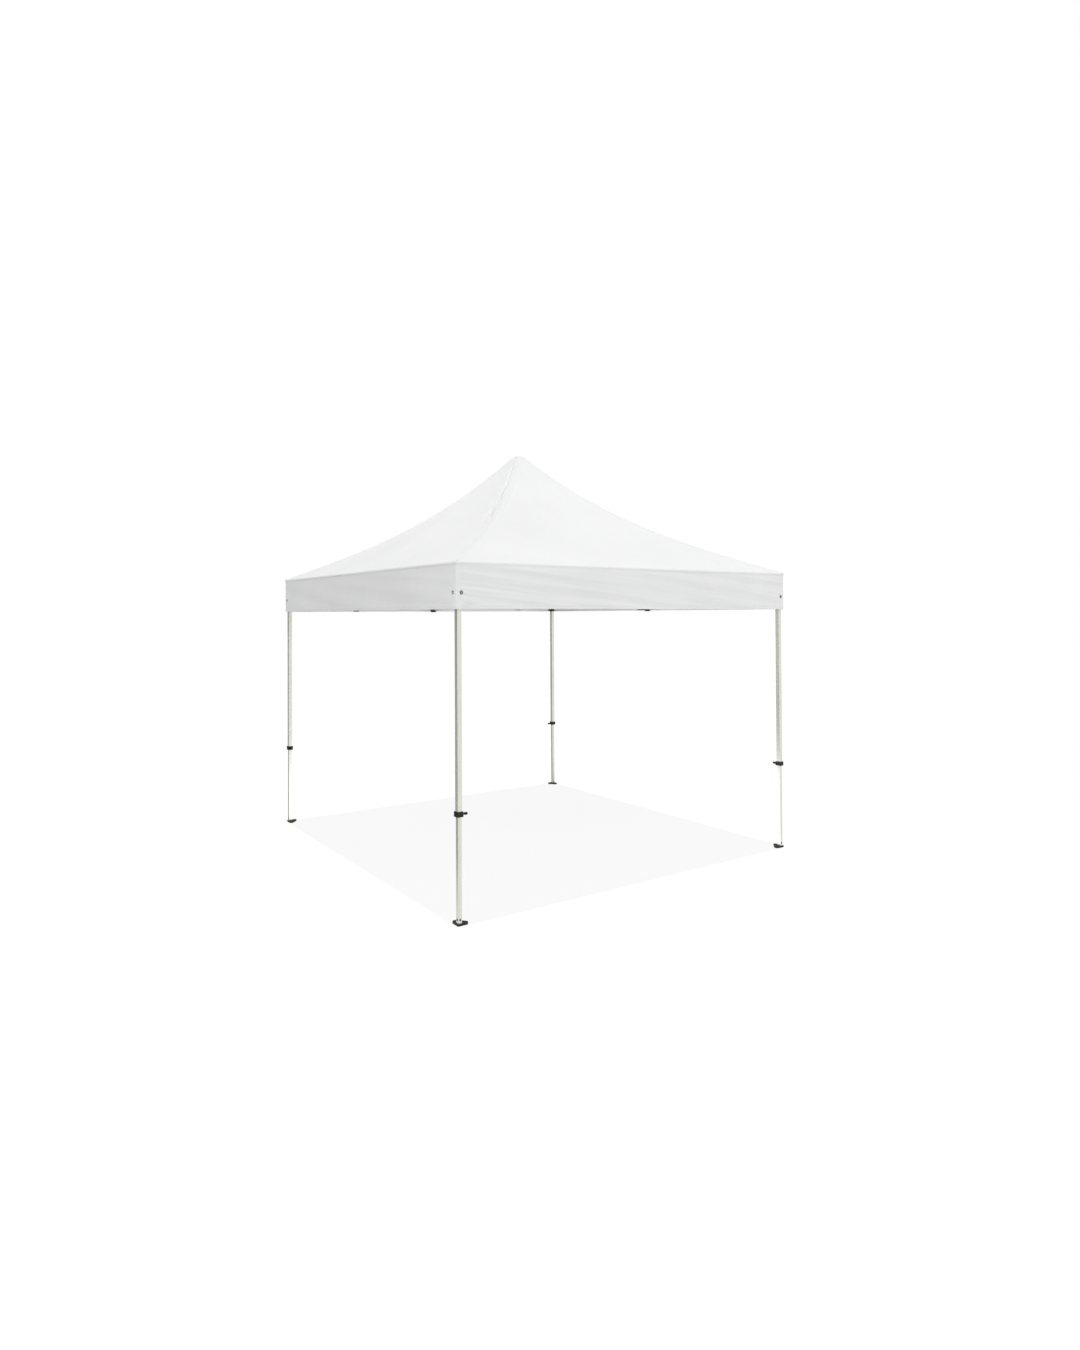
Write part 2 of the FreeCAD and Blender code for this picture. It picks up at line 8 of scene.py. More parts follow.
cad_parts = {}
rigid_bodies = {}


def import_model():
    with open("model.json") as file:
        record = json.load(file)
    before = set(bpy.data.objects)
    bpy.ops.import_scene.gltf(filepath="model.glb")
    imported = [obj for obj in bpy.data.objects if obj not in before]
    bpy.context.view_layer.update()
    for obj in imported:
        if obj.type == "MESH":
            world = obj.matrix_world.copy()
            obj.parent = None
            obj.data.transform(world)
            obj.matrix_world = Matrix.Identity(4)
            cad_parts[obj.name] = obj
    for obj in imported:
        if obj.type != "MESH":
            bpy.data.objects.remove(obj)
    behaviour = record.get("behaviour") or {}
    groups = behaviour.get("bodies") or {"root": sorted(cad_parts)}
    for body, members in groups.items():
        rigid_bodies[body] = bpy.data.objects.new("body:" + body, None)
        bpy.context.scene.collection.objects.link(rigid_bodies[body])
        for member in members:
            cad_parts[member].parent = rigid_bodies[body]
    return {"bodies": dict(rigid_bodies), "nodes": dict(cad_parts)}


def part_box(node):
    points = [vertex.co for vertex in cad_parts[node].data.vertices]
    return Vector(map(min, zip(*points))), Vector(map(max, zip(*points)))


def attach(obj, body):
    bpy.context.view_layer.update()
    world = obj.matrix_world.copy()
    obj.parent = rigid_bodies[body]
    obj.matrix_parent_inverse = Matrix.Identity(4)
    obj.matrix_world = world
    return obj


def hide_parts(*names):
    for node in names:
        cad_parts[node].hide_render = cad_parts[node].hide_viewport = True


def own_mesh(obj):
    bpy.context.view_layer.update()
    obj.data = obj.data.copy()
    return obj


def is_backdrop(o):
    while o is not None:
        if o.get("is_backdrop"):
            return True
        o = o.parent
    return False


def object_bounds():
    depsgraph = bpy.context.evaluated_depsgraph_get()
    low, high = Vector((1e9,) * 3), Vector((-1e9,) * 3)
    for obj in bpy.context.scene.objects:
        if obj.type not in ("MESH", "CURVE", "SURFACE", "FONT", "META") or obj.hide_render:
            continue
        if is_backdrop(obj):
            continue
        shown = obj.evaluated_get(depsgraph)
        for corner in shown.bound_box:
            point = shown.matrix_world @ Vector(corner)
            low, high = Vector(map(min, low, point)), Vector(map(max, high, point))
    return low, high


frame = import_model()
CAD_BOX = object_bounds()

# ---------------------------------------------------------------------------
# Sizes, in metres
# ---------------------------------------------------------------------------

LOW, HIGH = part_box("canopy")
HALF = HIGH.x
HEM_Z = LOW.z
PEAK_Z = HIGH.z
VALANCE_DEPTH = 0.282
EAVE_Z = HEM_Z + VALANCE_DEPTH
PEAK_HALF = 0.030
ROOF_STRAIGHT_SHARE = 0.64
ROOF_CURVE_POWER = 3.0
FABRIC_THICK = 0.001
PANEL_SAG = 0.022
CORNER_ROUND = 0.012
LEG_CENTRE = HALF - 0.030
STRAP_Z = 2.052

SIDES = ("front", "right", "back", "left")
LEGS = ("front_left", "front_right", "back_right", "back_left")

# How far things move when the frame is fully folded
LEG_TRAVEL = 1.3674
POLE_TRAVEL = 0.949
FOLDED_HALF = HALF - LEG_TRAVEL
ROOF_KEEP = 0.15
ROOF_PLEATS = 9
ROOF_PLEAT_DEPTH = 0.055
ROOF_PLEAT_DROP = 0.055
ROOF_SLACK_DROP = 0.030
VALANCE_PLEATS = 9
VALANCE_PLEAT_DEPTH = 0.030


# ---------------------------------------------------------------------------
# Small helpers
# ---------------------------------------------------------------------------


def smooth_step(low, high, value):
    share = min(1.0, max(0.0, (value - low) / (high - low)))
    return share * share * (3 - 2 * share)


def turned(side, point):
    """A point on the front side, turned to the side with this number."""
    x, y, z = point
    for _ in range(side):
        x, y = -y, x
    return Vector((x, y, z))


def make_piece(name, points, faces, material, smooth=True):
    mesh = bpy.data.meshes.new(name)
    mesh.from_pydata([tuple(p) for p in points], [], faces)
    mesh.update()
    mesh.materials.append(material)
    if smooth:
        mesh.polygons.foreach_set("use_smooth", [True] * len(mesh.polygons))
    piece = bpy.data.objects.new(name, mesh)
    bpy.context.scene.collection.objects.link(piece)
    return piece


def grid_faces(rows, columns, closed=False):
    """Faces of a grid of points, row by row. A closed grid joins its last column to its first."""
    faces = []
    last = columns if closed else columns - 1
    for row in range(rows - 1):
        for column in range(last):
            right = (column + 1) % columns
            a = row * columns + column
            b = row * columns + right
            faces.append((a, b, b + columns, a + columns))
    return faces


def thicken(piece, thickness, offset=-1.0):
    modifier = piece.modifiers.new("thickness", "SOLIDIFY")
    modifier.thickness = thickness
    modifier.offset = offset
    modifier.use_even_offset = False
    return modifier


def hook(piece, body, weights):
    """Each point follows the body by its weight."""
    group = piece.vertex_groups.new(name="follows_" + body)
    for index, weight in enumerate(weights):
        if weight > 1e-6:
            group.add([index], weight, "REPLACE")
    modifier = piece.modifiers.new("follows_" + body, "HOOK")
    modifier.object = frame["bodies"][body]
    modifier.vertex_group = group.name
    modifier.falloff_type = "NONE"
    modifier.strength = 1.0
    modifier.center = (0, 0, 0)
    modifier.matrix_inverse = Matrix.Identity(4)


# ---------------------------------------------------------------------------
# Materials
# ---------------------------------------------------------------------------


def new_material(name, colour, roughness, metallic=0.0, **sockets):
    material = bpy.data.materials.new(name)
    material.use_nodes = True
    shader = material.node_tree.nodes["Principled BSDF"]
    shader.inputs["Base Color"].default_value = (*colour, 1)
    shader.inputs["Roughness"].default_value = roughness
    shader.inputs["Metallic"].default_value = metallic
    for socket, value in sockets.items():
        shader.inputs[socket.replace("_", " ")].default_value = value
    return material, material.node_tree, shader


def add_node(tree, kind, **settings):
    node = tree.nodes.new(kind)
    for name, value in settings.items():
        setattr(node, name, value)
    return node


def object_position(tree, stretch=(1, 1, 1)):
    coordinates = add_node(tree, "ShaderNodeTexCoord")
    mapping = add_node(tree, "ShaderNodeMapping")
    mapping.inputs["Scale"].default_value = stretch
    tree.links.new(coordinates.outputs["Object"], mapping.inputs["Vector"])
    return mapping.outputs["Vector"]


def noise_value(tree, vector, scale, detail=2.0, roughness=0.5):
    texture = add_node(tree, "ShaderNodeTexNoise")
    texture.inputs["Scale"].default_value = scale
    texture.inputs["Detail"].default_value = detail
    texture.inputs["Roughness"].default_value = roughness
    tree.links.new(vector, texture.inputs["Vector"])
    return texture.outputs["Fac"]


def ramp(tree, value, stops):
    node = add_node(tree, "ShaderNodeValToRGB")
    elements = node.color_ramp.elements
    for element, (position, colour) in zip(elements, stops):
        element.position = position
        element.color = (*colour, 1)
    for position, colour in stops[2:]:
        elements.new(position).color = (*colour, 1)
    tree.links.new(value, node.inputs["Fac"])
    return node.outputs["Color"]


def spread(tree, value, low, high):
    node = add_node(tree, "ShaderNodeMapRange")
    node.inputs["From Min"].default_value = 0.3
    node.inputs["From Max"].default_value = 0.7
    node.inputs["To Min"].default_value = low
    node.inputs["To Max"].default_value = high
    tree.links.new(value, node.inputs["Value"])
    return node.outputs["Result"]


def bump(tree, height, strength, distance, under=None):
    node = add_node(tree, "ShaderNodeBump")
    node.inputs["Strength"].default_value = strength
    node.inputs["Distance"].default_value = distance
    tree.links.new(height, node.inputs["Height"])
    if under is not None:
        tree.links.new(under, node.inputs["Normal"])
    return node.outputs["Normal"]


def maths(tree, operation, first, second):
    node = add_node(tree, "ShaderNodeMath", operation=operation)
    for socket, value in zip(node.inputs, (first, second)):
        if isinstance(value, (int, float)):
            socket.default_value = value
        else:
            tree.links.new(value, socket)
    return node.outputs[0]


def wave(tree, vector, scale, direction):
    texture = add_node(
        tree, "ShaderNodeTexWave", wave_type="BANDS", bands_direction=direction
    )
    texture.inputs["Scale"].default_value = scale
    texture.inputs["Distortion"].default_value = 0.15
    texture.inputs["Detail Scale"].default_value = 2.0
    tree.links.new(vector, texture.inputs["Vector"])
    return texture.outputs["Fac"]


def fabric_material(name, colour, cloud):
    """Coated polyester: plain weave, soft clouding where the coat is thicker, a faint crumple."""
    material, tree, shader = new_material(
        name,
        colour,
        0.62,
        Sheen_Weight=0.12,
        Sheen_Roughness=0.5,
        Specular_IOR_Level=0.35,
    )
    vector = object_position(tree)
    clouds = noise_value(tree, vector, 1.7, 4.0, 0.55)
    darker = tuple(c * cloud for c in colour)
    tree.links.new(
        ramp(tree, clouds, [(0.34, darker), (0.66, colour)]),
        shader.inputs["Base Color"],
    )
    tree.links.new(
        spread(tree, noise_value(tree, vector, 9.0), 0.55, 0.68),
        shader.inputs["Roughness"],
    )
    weave = maths(
        tree,
        "MAXIMUM",
        maths(
            tree, "MAXIMUM", wave(tree, vector, 520, "X"), wave(tree, vector, 520, "Y")
        ),
        wave(tree, vector, 520, "Z"),
    )
    woven = bump(tree, weave, 0.10, 0.0002)
    crumple = noise_value(tree, vector, 16.0, 5.0, 0.6)
    tree.links.new(
        bump(tree, crumple, 0.18, 0.004, under=woven), shader.inputs["Normal"]
    )
    return material


def painted_material(name, colour, metallic, roughness, streaks=0.0):
    """Painted steel tube: fine orange peel, slightly uneven gloss, faint long marks on sliding tubes."""
    material, tree, shader = new_material(
        name, colour, roughness, metallic, Coat_Weight=0.15, Coat_Roughness=0.25
    )
    vector = object_position(tree)
    long_vector = object_position(tree, (1, 1, 0.06))
    tone = noise_value(tree, vector, 6.0, 3.0)
    duller = tuple(c * 0.95 for c in colour)
    tree.links.new(
        ramp(tree, tone, [(0.3, duller), (0.7, colour)]), shader.inputs["Base Color"]
    )
    marks = noise_value(tree, long_vector, 420.0, 3.0, 0.7)
    low, high = roughness - 0.012, roughness + 0.018 + 0.3 * streaks
    tree.links.new(spread(tree, marks, low, high), shader.inputs["Roughness"])
    peel = noise_value(tree, vector, 900.0, 1.0)
    peeled = bump(tree, peel, 0.05, 0.00005)
    tree.links.new(
        bump(tree, marks, 0.01 + 0.3 * streaks, 0.00005, under=peeled),
        shader.inputs["Normal"],
    )
    return material


def plastic_material(name, colour, roughness, grain):
    """Moulded plastic: fine grain and a slightly scuffed, uneven gloss."""
    material, tree, shader = new_material(name, colour, roughness, Specular_IOR_Level=0.35)
    vector = object_position(tree)
    scuffs = noise_value(tree, vector, 60.0, 4.0, 0.65)
    lighter = tuple(min(1.0, c * 1.8 + 0.004) for c in colour)
    tree.links.new(
        ramp(tree, scuffs, [(0.45, colour), (0.8, lighter)]),
        shader.inputs["Base Color"],
    )
    tree.links.new(
        spread(tree, scuffs, roughness - 0.08, roughness + 0.14),
        shader.inputs["Roughness"],
    )
    tree.links.new(
        bump(tree, noise_value(tree, vector, 1400.0, 1.0), grain, 0.0002),
        shader.inputs["Normal"],
    )
    return material


def metal_material(name, colour, roughness, brushed):
    """Bare or plated metal with brushing along its length."""
    material, tree, shader = new_material(name, colour, roughness, 1.0)
    along = object_position(tree, brushed)
    lines = noise_value(tree, along, 700.0, 3.0, 0.6)
    tree.links.new(
        spread(tree, lines, roughness - 0.08, roughness + 0.12),
        shader.inputs["Roughness"],
    )
    darker = tuple(c * 0.8 for c in colour)
    tree.links.new(
        ramp(tree, lines, [(0.3, darker), (0.7, colour)]), shader.inputs["Base Color"]
    )
    tree.links.new(bump(tree, lines, 0.08, 0.0002), shader.inputs["Normal"])
    return material


def webbing_material(name, colour):
    """Woven strap: ribs across its width."""
    material, tree, shader = new_material(name, colour, 0.75, Sheen_Weight=0.25)
    vector = object_position(tree)
    ribs = maths(
        tree, "MULTIPLY", wave(tree, vector, 300, "Z"), wave(tree, vector, 300, "X")
    )
    darker = tuple(c * 0.75 for c in colour)
    tree.links.new(
        ramp(tree, ribs, [(0.1, darker), (0.7, colour)]), shader.inputs["Base Color"]
    )
    tree.links.new(bump(tree, ribs, 0.4, 0.0005), shader.inputs["Normal"])
    return material


ROOF_FABRIC = fabric_material("roof_fabric", (0.86, 0.862, 0.868), 0.965)
VALANCE_FABRIC = fabric_material("valance_fabric", (0.83, 0.832, 0.838), 0.955)
THREAD = fabric_material("white_thread", (0.74, 0.74, 0.73), 0.9)
BAR_PAINT = painted_material("white_bar_paint", (0.78, 0.78, 0.70), 0.10, 0.38)
UPPER_LEG_PAINT = painted_material("upper_leg_paint", (0.93, 0.932, 0.825), 0.72, 0.24)
LOWER_LEG_PAINT = painted_material(
    "lower_leg_paint", (0.93, 0.932, 0.84), 0.72, 0.22, 0.04
)
BLACK_PLASTIC = plastic_material("black_plastic", (0.012, 0.012, 0.013), 0.42, 0.15)
LIGHT_PLASTIC = plastic_material("light_hub_plastic", (0.62, 0.62, 0.60), 0.45, 0.12)
KNOB_PLASTIC = plastic_material("knob_plastic", (0.010, 0.010, 0.011), 0.32, 0.08)
FOOT_PLASTIC = plastic_material("black_foot_plastic", (0.009, 0.009, 0.008), 0.62, 0.2)
ZINC = metal_material("zinc_plated_steel", (0.62, 0.62, 0.60), 0.34, (1, 1, 1))
ALUMINIUM = metal_material("brushed_aluminium", (0.72, 0.73, 0.74), 0.32, (1, 1, 0.04))
GROMMET_METAL = metal_material("dark_grommet_metal", (0.16, 0.16, 0.17), 0.38, (1, 1, 1))
STRAP_WEBBING = webbing_material("strap_webbing", (0.55, 0.55, 0.54))


# ---------------------------------------------------------------------------
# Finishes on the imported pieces
# ---------------------------------------------------------------------------


def islands(mesh):
    """The faces of each separate solid in a mesh, with the solid's lowest and highest corners."""
    points = np.empty(len(mesh.vertices) * 3)
    mesh.vertices.foreach_get("co", points)
    points = points.reshape(-1, 3)
    leader = {}

    def find(key):
        while leader.setdefault(key, key) != key:
            leader[key] = leader[leader[key]]
            key = leader[key]
        return key

    keys = [tuple(k) for k in np.round(points * 1e5).astype(int).tolist()]
    for polygon in mesh.polygons:
        first = find(keys[polygon.vertices[0]])
        for vertex in polygon.vertices[1:]:
            other = find(keys[vertex])
            if other != first:
                leader[other] = first
    found = {}
    for polygon in mesh.polygons:
        found.setdefault(find(keys[polygon.vertices[0]]), []).append(polygon.index)
    for faces in found.values():
        used = sorted({v for f in faces for v in mesh.polygons[f].vertices})
        yield faces, points[used].min(axis=0), points[used].max(axis=0)


def finish_node(name, main, choose=None):
    """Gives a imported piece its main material, and each of its solids the one that choose names."""
    mesh = frame["nodes"][name].data
    mesh.materials.clear()
    mesh.materials.append(main)
    indices = [0] * len(mesh.polygons)
    if choose is not None:
        slots = [main]
        for faces, low, high in islands(mesh):
            material = choose(low, high)
            if material not in slots:
                slots.append(material)
                mesh.materials.append(material)
            for face in faces:
                indices[face] = slots.index(material)
    mesh.polygons.foreach_set("material_index", indices)


SMALL = 0.05


def is_bolt(low, high):
    size = sorted(high - low)
    return size[2] < SMALL and size[1] < 0.014


def leg_solid(low, high):
    if is_bolt(low, high):
        return ZINC
    return UPPER_LEG_PAINT if high[2] - low[2] > 1.0 else BLACK_PLASTIC


def bracket_solid(low, high):
    return ZINC if is_bolt(low, high) else BLACK_PLASTIC


def hub_solid(low, high):
    return ZINC if is_bolt(low, high) else LIGHT_PLASTIC


def bar_solid(low, high):
    return ZINC if is_bolt(low, high) else BAR_PAINT


def foot_solid(low, high):
    return BLACK_PLASTIC if max(high - low) < 0.02 else FOOT_PLASTIC


for node_name in frame["nodes"]:
    if node_name.endswith("_outer_leg"):
        finish_node(node_name, UPPER_LEG_PAINT, leg_solid)
    elif node_name.endswith("_inner_leg"):
        finish_node(node_name, LOWER_LEG_PAINT)
    elif "_bar_" in node_name:
        finish_node(node_name, BAR_PAINT, bar_solid)
    elif node_name.endswith("_foot"):
        finish_node(node_name, FOOT_PLASTIC, foot_solid)
    elif node_name.endswith("_pin"):
        finish_node(node_name, KNOB_PLASTIC)
    elif node_name == "peak_pole":
        finish_node(node_name, ALUMINIUM)
    elif node_name.endswith("_hub"):
        finish_node(node_name, LIGHT_PLASTIC, hub_solid)
    elif node_name != "canopy":
        finish_node(node_name, BLACK_PLASTIC, bracket_solid)


# ---------------------------------------------------------------------------
# The roof: four sewn panels, one continuous sheet
# ---------------------------------------------------------------------------


def crease(across, along, centre, slope, width, depth, low, high):
    """A groove that runs up the roof beside a ridge."""
    middle = centre + slope * (along - low)
    fade = smooth_step(low, low + 0.08, along) * (
        1 - smooth_step(high - 0.08, high, along)
    )
    return -depth * fade * math.exp(-(((across - middle) / width) ** 2))


def roof_height(share):
    rise = ROOF_STRAIGHT_SHARE * share + (1 - ROOF_STRAIGHT_SHARE) * share**ROOF_CURVE_POWER
    return EAVE_Z + (PEAK_Z - EAVE_Z) * rise


def roof_point(side, s, u):
    """s runs along the eave from -1 to 1, and u from the eave, 0, to the peak, 1."""
    half = HALF - (HALF - PEAK_HALF) * u
    across = (1 - abs(s)) * half
    z = roof_height(u)
    z -= PANEL_SAG * (1 - s * s) * 4 * u * (1 - u)
    where = turned(side, (s * half, -half, z))
    fade = smooth_step(0.0, 0.05, u) * (1 - smooth_step(0.93, 1.0, u))
    fade *= smooth_step(0.0, 0.06, across)
    z += 0.006 * fade * noise.noise(where * 2.3 + Vector((3.1, 7.7, 1.9)))
    z += 0.003 * fade * noise.noise(where * 6.5 + Vector((9.4, 2.2, 5.3)))
    if side == 3 and s > 0:
        z += crease(across, u, 0.050, 0.060, 0.010, 0.022, 0.50, 0.72)
        z += crease(across, u, 0.110, -0.100, 0.012, 0.016, 0.46, 0.66)
        z += crease(across, u, 0.045, -0.060, 0.011, 0.026, 0.66, 0.86)
        z += crease(across, u, 0.030, 0.020, 0.009, 0.018, 0.80, 0.97)
    elif abs(s) > 0:
        end = side * 2 + (1 if s > 0 else 0)
        z += crease(across, u, 0.055, 0.03, 0.014, 0.003 + 0.0003 * end, 0.55, 0.88)
    where.z = z
    return where


def folded_point(side, s, u):
    """Where a roof point goes when the frame is folded: over the bundle, in pleats that hang at its edge."""
    pleat = 0.5 - 0.5 * math.cos(math.pi * ROOF_PLEATS * (s + 1))
    reach = FOLDED_HALF * (1 - u) ** 0.8 + 0.012
    bulge = 0.0
    if u < 0.78:
        bulge = ROOF_PLEAT_DEPTH * pleat * math.sin(math.pi * min(1.0, 1.25 * u + 0.02)) ** 0.6
    phase = noise.noise(Vector((side * 2.7 + s * 1.6, u * 3.1, 4.4)))
    flat = turned(side, (s * reach, -(reach + bulge), 0))
    squashed = EAVE_Z + ROOF_KEEP * (roof_point(side, s, u).z - EAVE_Z)
    drop = ROOF_PLEAT_DROP * pleat * math.sin(math.pi * min(1.0, 1.1 * u)) if u < 0.9 else 0.0
    drop += ROOF_SLACK_DROP * (0.5 + phase) * smooth_step(0.1, 0.4, u) * (1 - smooth_step(0.75, 0.95, u))
    flat.z = squashed - max(0.0, drop)
    return flat


def gather(piece, places):
    """Folds a piece of the roof with the frame. places holds the side, s and u of each of its points."""
    weights = {leg: [] for leg in LEGS}
    down = []
    for side, s, u in places:
        start = roof_point(side, s, u)
        end = folded_point(side, s, u)
        x = (end.x - start.x) / LEG_TRAVEL
        y = (end.y - start.y) / LEG_TRAVEL
        weights["front_left"].append(max(0.0, (x + y) / 2))
        weights["back_right"].append(max(0.0, -(x + y) / 2))
        weights["back_left"].append(max(0.0, (x - y) / 2))
        weights["front_right"].append(max(0.0, (y - x) / 2))
        squashed = EAVE_Z + ROOF_KEEP * (start.z - EAVE_Z)
        down.append(max(0.0, (squashed - end.z) / POLE_TRAVEL))
    for leg in LEGS:
        hook(piece, leg + "_upper_leg", weights[leg])
    hook(piece, "peak_pole", down)


def roof_piece(name, places, points, faces, material, thickness):
    piece = make_piece(name, points, faces, material)
    gather(piece, places)
    thicken(piece, thickness)
    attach(piece, "canopy_and_top_hub")
    return piece


def squash_roof(piece):
    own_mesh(piece)


def build_roof():
    rows = 110
    edge = [1 - 0.006 * i for i in range(24)]
    inner = edge[-1]
    count = 60
    middle = [-inner + 2 * inner * i / count for i in range(1, count)]
    spots = [-s for s in edge] + middle + edge[:0:-1]
    columns = len(spots)
    # the sheet turns over the eave and laps the top of the valance
    lap = [(0.0007, -0.018), (0.0008, -0.0176), (0.0009, -0.008), (0.0008, -0.003), (-0.0015, -0.0004)]
    points, places = [], []
    for out, down in lap:
        for side in range(4):
            for s in spots:
                half = HALF + out
                points.append(turned(side, (s * half, -half, EAVE_Z + down)))
                places.append((side, s, 0.0))
    for row in range(rows + 1):
        u = 0.006 + 0.994 * row / rows
        for side in range(4):
            for s in spots:
                points.append(roof_point(side, s, u))
                places.append((side, s, u))
    faces = grid_faces(rows + 1 + len(lap), 4 * columns, closed=True)
    top = len(points)
    points.append(Vector((0, 0, PEAK_Z + 0.001)))
    places.append((0, 0.0, 1.0))
    last_ring = top - 4 * columns
    for column in range(4 * columns):
        faces.append(
            (last_ring + column, last_ring + (column + 1) % (4 * columns), top)
        )
    roof = roof_piece("roof", places, points, faces, ROOF_FABRIC, FABRIC_THICK)
    area = sum(polygon.area for polygon in roof.data.polygons)
    squash_roof(roof)
    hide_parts("canopy")
    return roof, area


def build_ridge_seams():
    """The seam along each ridge: a narrow welt of doubled cloth that stands a little proud."""
    width = 0.011
    steps = 90
    seams = []
    for side, leg in enumerate(LEGS):
        points, places = [], []
        for step in range(steps + 1):
            u = 0.004 + 0.99 * step / steps
            half = HALF - (HALF - PEAK_HALF) * u
            for across, lift in (
                (-width, 0.0002),
                (-width * 0.7, 0.0009),
                (0.0, 0.0012),
                (width * 0.7, 0.0009),
                (width, 0.0002),
            ):
                s = 1 - abs(across) / half
                here, at = (side, -s) if across >= 0 else ((side - 1) % 4, s)
                point = roof_point(here, at, u)
                point.z += lift
                points.append(point)
                places.append((here, at, u))
        seam = roof_piece(
            "ridge_seam_" + leg,
            places,
            points,
            grid_faces(steps + 1, 5),
            ROOF_FABRIC,
            0.0008,
        )
        squash_roof(seam)
        seams.append(seam)
    return seams


# ---------------------------------------------------------------------------
# The valances
# ---------------------------------------------------------------------------

HEM_DROPS = (0.002, 0.002, 0.002, 0.003)
GROMMET_IN = 0.038
GROMMET_UP = 0.097
GROMMET_Z = HEM_Z + GROMMET_UP
GROMMET_RING = 0.0098
GROMMET_WIRE = 0.0026
GROMMET_HOLE = 0.0086


def valance_wrinkle(side, x, down):
    """How far the valance stands out from its plane at this place."""
    share = down / VALANCE_DEPTH
    from_end = HALF - abs(x)
    seed = Vector((side * 13.7, 0, side * 5.1))
    free = smooth_step(0.02, 0.55, share) * smooth_step(0.0, 0.05, from_end)
    drift = down - 0.09 * (x + HALF)
    if side == 0:
        long_folds = noise.noise(Vector((x * 0.9, drift * 19, 2.4)) + seed)
        fine_folds = noise.noise(Vector((x * 2.6, drift * 44, 8.1)) + seed)
        out = 0.0095 * long_folds + 0.0028 * fine_folds
        out *= 0.55 + 0.45 * (1 - smooth_step(0.0, 1.9, x + HALF))
        out *= smooth_step(0.0, 0.2, share)
        curl = smooth_step(0.80, 1.0, share)
        out += 0.010 * curl * math.exp(-(((x + HALF - 0.020) / 0.022) ** 2))
        out -= 0.016 * curl * math.exp(-(((x + HALF - 0.095) / 0.045) ** 2))
    else:
        long_folds = noise.noise(Vector((x * 1.1, drift * 14, 2.4)) + seed)
        out = 0.0032 * long_folds * smooth_step(0.0, 0.3, share)
    out *= smooth_step(0.0, 0.05, from_end)
    out += 0.006 * free * noise.noise(Vector((x * 1.9, 0.3, 6.6)) + seed)
    out += 0.0025 * free * noise.noise(Vector((x * 6.0, down * 2.0, 1.2)) + seed)
    # puckers round the grommet
    across = from_end - GROMMET_IN
    up = (EAVE_Z - down) - GROMMET_Z
    reach = math.hypot(across, up)
    if reach < 0.1:
        angle = math.atan2(up, across)
        ring = math.exp(-(((reach - 0.022) / 0.016) ** 2))
        out += 0.0016 * ring * math.cos(5 * angle + side)
    return out


def hem_wave(side, x, down):
    """How far the cloth is above or below its flat place. Each corner has its own drop."""
    share = smooth_step(0.4, 1.0, down / VALANCE_DEPTH)
    depth = 0.0035 if side == 0 else 0.0018
    along = (x + HALF) / (2 * HALF)
    drop = (1 - along) * HEM_DROPS[side] + along * HEM_DROPS[(side + 1) % 4]
    return share * (depth * noise.noise(Vector((x * 4.2, 0.0, side * 3.3 + 0.5))) - drop)


def valance_point(side, x, down, out=0.0):
    """A point of the valance on its wrinkled face. x runs along the side, and out is away from it."""
    z = EAVE_Z - down + hem_wave(side, x, down)
    away = out + valance_wrinkle(side, x, down)
    straight = HALF - CORNER_ROUND
    if abs(x) <= straight:
        return turned(side, (x, -(HALF - 0.0012 + away), z))
    turn = (abs(x) - straight) / CORNER_ROUND * math.pi / 4
    radius = CORNER_ROUND - 0.0012 + away
    x_turned = math.copysign(straight + radius * math.sin(turn), x)
    return turned(side, (x_turned, -(straight + radius * math.cos(turn)), z))


def valance_columns():
    """Places along a side, closer together round each grommet and at each corner."""
    ends = [HALF - d for d in (0.0, 0.003, 0.006, 0.009, 0.012)]
    ends += [HALF - 0.012 - 0.0055 * i for i in range(1, 3)]
    ends += [HALF - GROMMET_IN + GROMMET_HOLE * (1 - i / 4) * 1.5 for i in range(9)]
    ends += [HALF - GROMMET_IN - 0.019 - 0.006 * i for i in range(6)]
    inner = ends[-1]
    count = 112
    middle = [-inner + 2 * inner * i / count for i in range(1, count)]
    return [-x for x in ends] + middle + ends[::-1]


def valance_rows(start=0.002, count=42):
    """Places down the valance, closer together round the grommets."""
    middle = VALANCE_DEPTH - GROMMET_UP
    near = [middle + GROMMET_HOLE * 1.5 * (i / 4 - 1) for i in range(9)]
    pitch = (VALANCE_DEPTH - start) / count
    even = [start + pitch * i for i in range(count + 1)]
    apart = [d for d in even if abs(d - middle) > GROMMET_HOLE * 1.5 + pitch / 2]
    return sorted(apart + near)


def round_grommet_hole(x, down):
    """Moves a place that is inside a grommet's hole out to its rim. Says also if it was inside."""
    across = abs(x) - (HALF - GROMMET_IN)
    up = (VALANCE_DEPTH - GROMMET_UP) - down
    reach = math.hypot(across, up)
    if reach > GROMMET_HOLE * 1.25:
        return x, down, False
    if reach < 1e-6:
        return x, down, True
    stretch = GROMMET_HOLE / reach
    x = math.copysign(HALF - GROMMET_IN + across * stretch, x)
    return x, VALANCE_DEPTH - GROMMET_UP - up * stretch, reach < GROMMET_HOLE * 1.02


def fold_valance(piece, side, xs):
    """Hangs the piece in pleats along its side: as the frame folds, the two legs across from it push it out
    by the pleats' depth.
    """
    axis = turned(side, (1, 0, 0))
    opposite = (LEGS[(side + 2) % 4], LEGS[(side + 3) % 4])
    weights = []
    for x in xs:
        pleat = 0.5 - 0.5 * math.cos(math.pi * VALANCE_PLEATS * (x / HALF + 1))
        weights.append(VALANCE_PLEAT_DEPTH * pleat / (4 * LEG_TRAVEL))
    for leg in opposite:
        hook(piece, leg + "_upper_leg", weights)
    return axis


def ride_valance(piece, side):
    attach(piece, SIDES[side] + "_mid_upper_bracket")
    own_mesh(piece)


